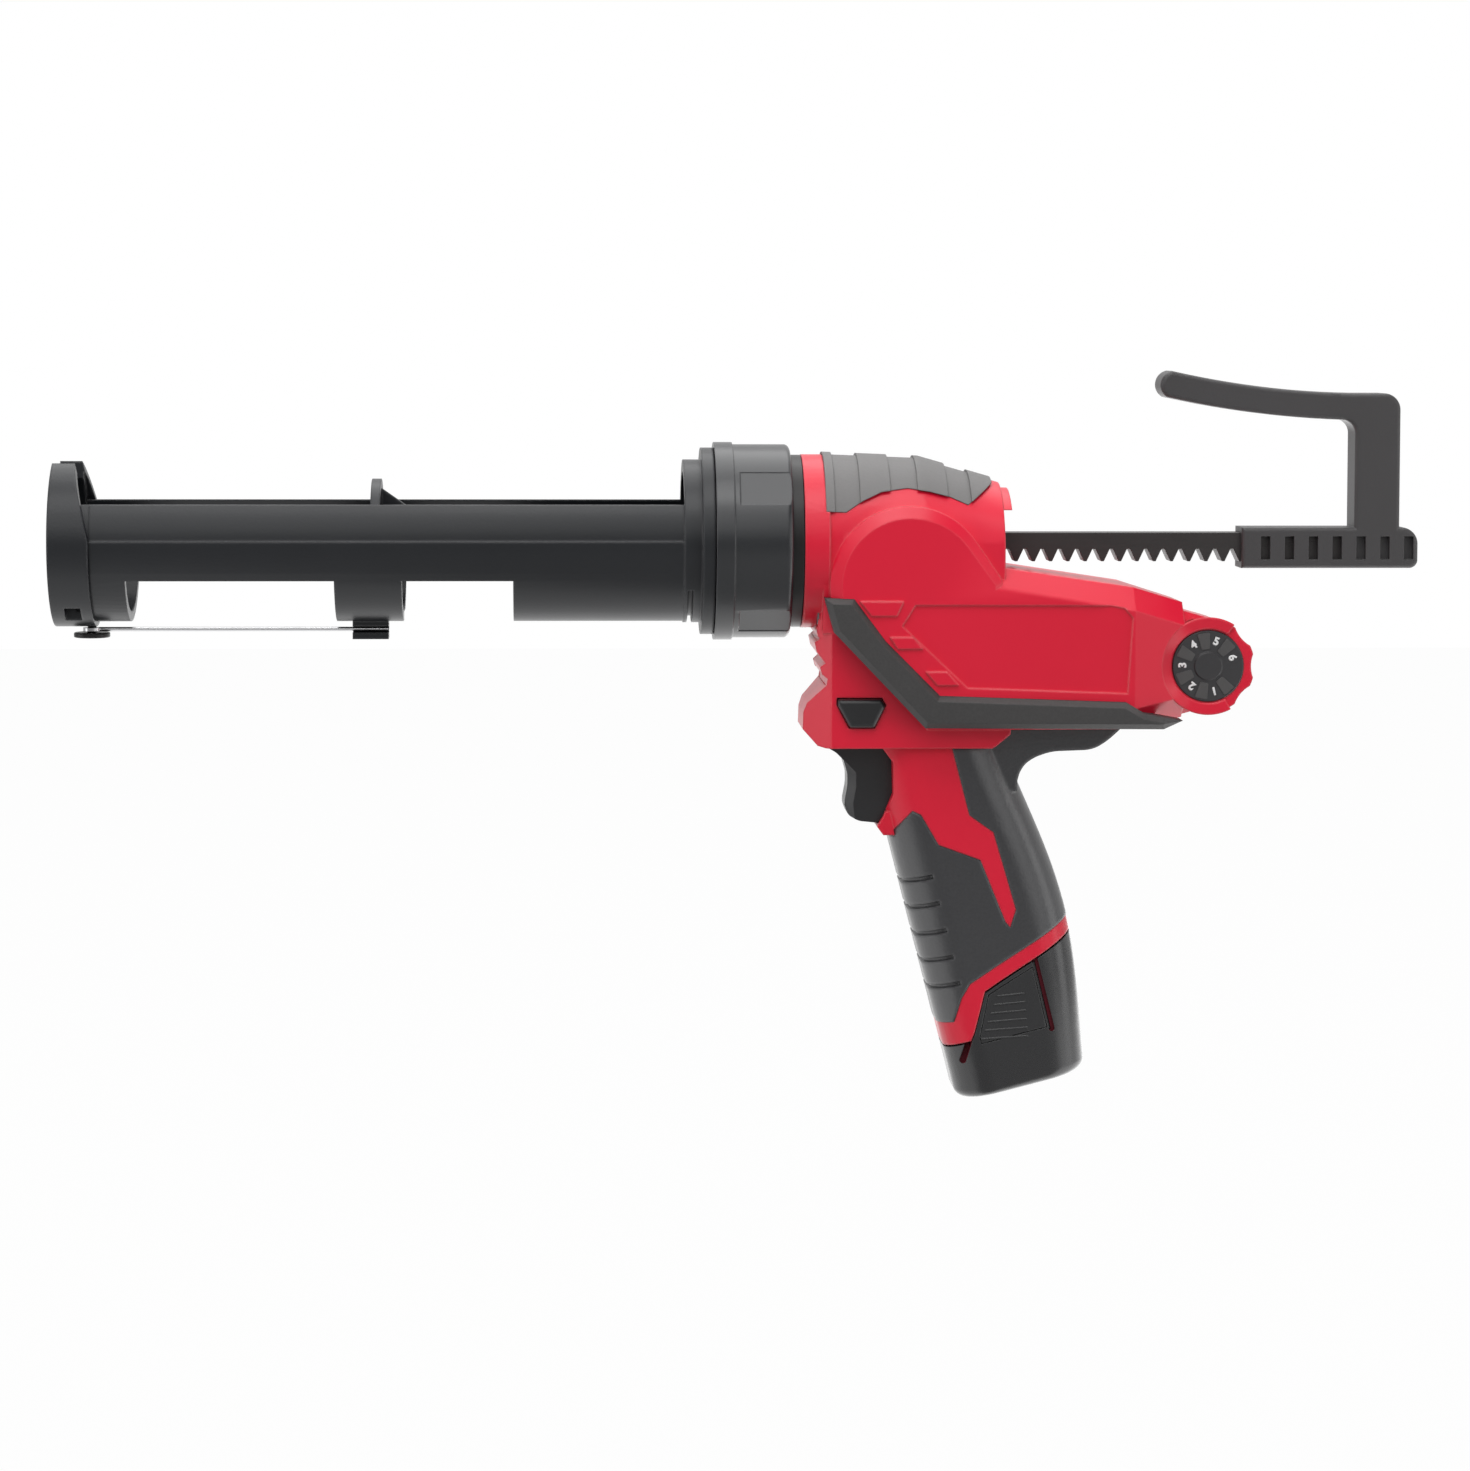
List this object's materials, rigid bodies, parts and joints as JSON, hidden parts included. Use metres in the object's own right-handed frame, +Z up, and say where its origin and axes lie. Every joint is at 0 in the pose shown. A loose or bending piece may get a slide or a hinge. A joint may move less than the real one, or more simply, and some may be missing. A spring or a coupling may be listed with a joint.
{
  "type": "cordless caulking tool",
  "caption": "Cordless caulking tool: open cartridge carriage, motor-driven rack rod with plunger and pull handle, moulded pistol-grip body, speed dial and slide-out battery.",
  "frame": {"origin": "on the cartridge axis, inside the rear seat ring of the carriage, where the cartridge's back rim sits", "axes": "-X forward along the push rod to the nozzle end, +Z up, +Y to the tool's right-hand side"},
  "size_m": [0.4923, 0.0716, 0.2635],
  "materials": {
    "red_plastic": "satin moulded",
    "black_plastic": "satin moulded",
    "grey_rubber": "matt over-moulded",
    "black_rubber": "matt over-moulded",
    "dark_steel": "blackened",
    "steel": "bright",
    "cast_alloy": "as cast",
    "bronze": "plain",
    "motor_black": "moulded",
    "board_green": "lacquered",
    "cell_wrap": "film wrapped"
  },
  "bodies": {
    "housing": {"housing_left": "red_plastic", "housing_right": "red_plastic", "top_pad_left": "grey_rubber", "top_pad_right": "grey_rubber", "bumper_left": "grey_rubber", "bumper_right": "grey_rubber", "grip_sleeve_left": "black_rubber", "grip_sleeve_right": "black_rubber", "nose_neck": "cast_alloy", "gear_frame": "cast_alloy", "shaft_bushes": "bronze", "neck_screws": "steel", "gearbox_case": "cast_alloy", "motor_can": "steel", "motor_end_cap": "motor_black", "rear_rod_guide": "black_plastic", "trigger_switch": "black_plastic", "dial_control": "black_plastic", "control_board": "board_green", "contact_block": "black_plastic", "contact_blades": "bronze", "housing_screws": "steel"},
    "rod": {"rack_rod": "dark_steel", "plunger_head": "black_plastic", "plunger_screw": "steel", "pull_handle": "black_plastic", "handle_pin": "steel"},
    "output": {"output_shaft": "steel", "output_gear": "steel", "rack_pinion": "steel"},
    "cross": {"cross_shaft": "steel", "spur_pinion": "steel", "bevel_gear": "steel"},
    "motor_drive": {"bevel_pinion": "steel", "gearbox_shaft": "steel"},
    "carriage": {"carriage_frame": "black_plastic", "front_cap": "black_plastic", "wire_pivot": "steel", "collar_snap_ring": "steel"},
    "wire": {"piercing_wire": "steel"},
    "collar": {"retaining_collar": "black_plastic"},
    "trigger": {"trigger": "black_plastic"},
    "lock": {"lock_button": "black_plastic"},
    "dial": {"speed_dial": "red_plastic", "dial_face": "black_plastic"},
    "battery": {"battery_case": "black_plastic", "battery_stem": "black_plastic", "battery_cells": "cell_wrap"},
    "latch_left": {"battery_latch_left": "black_plastic"},
    "latch_right": {"battery_latch_right": "black_plastic"}
  },
  "joints": [
    {"name": "plunger_slide", "type": "slide", "parent": "housing", "child": "rod", "axis": [1, 0, 0], "range_m": [-0.076, 0.128]},
    {"name": "output_spin", "type": "hinge", "parent": "housing", "child": "output", "pos_m": [0.073, 0, -0.0172], "axis": [0, 1, 0], "range_deg": [-380, 630]},
    {"name": "cross_spin", "type": "hinge", "parent": "housing", "child": "cross", "pos_m": [0.073, 0, -0.0412], "axis": [0, 1, 0], "range_deg": [-1850, 1100]},
    {"name": "motor_spin", "type": "hinge", "parent": "housing", "child": "motor_drive", "pos_m": [0.073, 0, -0.0412], "axis": [1, 0, 0], "range_deg": [-2190, 3680]},
    {"name": "carriage_swivel", "type": "hinge", "parent": "housing", "child": "carriage", "pos_m": [0, 0, 0], "axis": [1, 0, 0], "continuous": true},
    {"name": "wire_swing", "type": "hinge", "parent": "carriage", "child": "wire", "pos_m": [-0.22, 0, -0.0319], "axis": [0, 0, -1], "range_deg": [0, 180]},
    {"name": "collar_turn", "type": "hinge", "parent": "housing", "child": "collar", "pos_m": [0.0178, 0, 0], "axis": [1, 0, 0], "range_deg": [0, 60]},
    {"name": "trigger_pull", "type": "slide", "parent": "housing", "child": "trigger", "axis": [1, 0, 0], "range_m": [0, 0.007], "stiffness_N_per_m": 500, "springref_m": -0.006},
    {"name": "lock_push", "type": "slide", "parent": "housing", "child": "lock", "axis": [0, 1, 0], "range_m": [-0.003, 0.003]},
    {"name": "dial_turn", "type": "hinge", "parent": "housing", "child": "dial", "pos_m": [0.1815, -0.016, -0.044], "axis": [0, 1, 0], "range_deg": [-159, 106]},
    {"name": "battery_slide", "type": "slide", "parent": "housing", "child": "battery", "axis": [0.2504, 0, -0.9681], "range_m": [0, 0.075]},
    {"name": "latch_press_left", "type": "slide", "parent": "battery", "child": "latch_left", "axis": [0, 1, 0], "range_m": [0, 0.0009], "stiffness_N_per_m": 900, "springref_m": -0.002},
    {"name": "latch_press_right", "type": "slide", "parent": "battery", "child": "latch_right", "axis": [0, -1, 0], "range_m": [0, 0.0009], "stiffness_N_per_m": 900, "springref_m": -0.002}
  ],
  "couplings": [
    {"joint": "output_spin", "follows": "plunger_slide", "rad_per_m": 83.333},
    {"joint": "cross_spin", "follows": "plunger_slide", "rad_per_m": -250},
    {"joint": "motor_spin", "follows": "plunger_slide", "rad_per_m": 500}
  ]
}
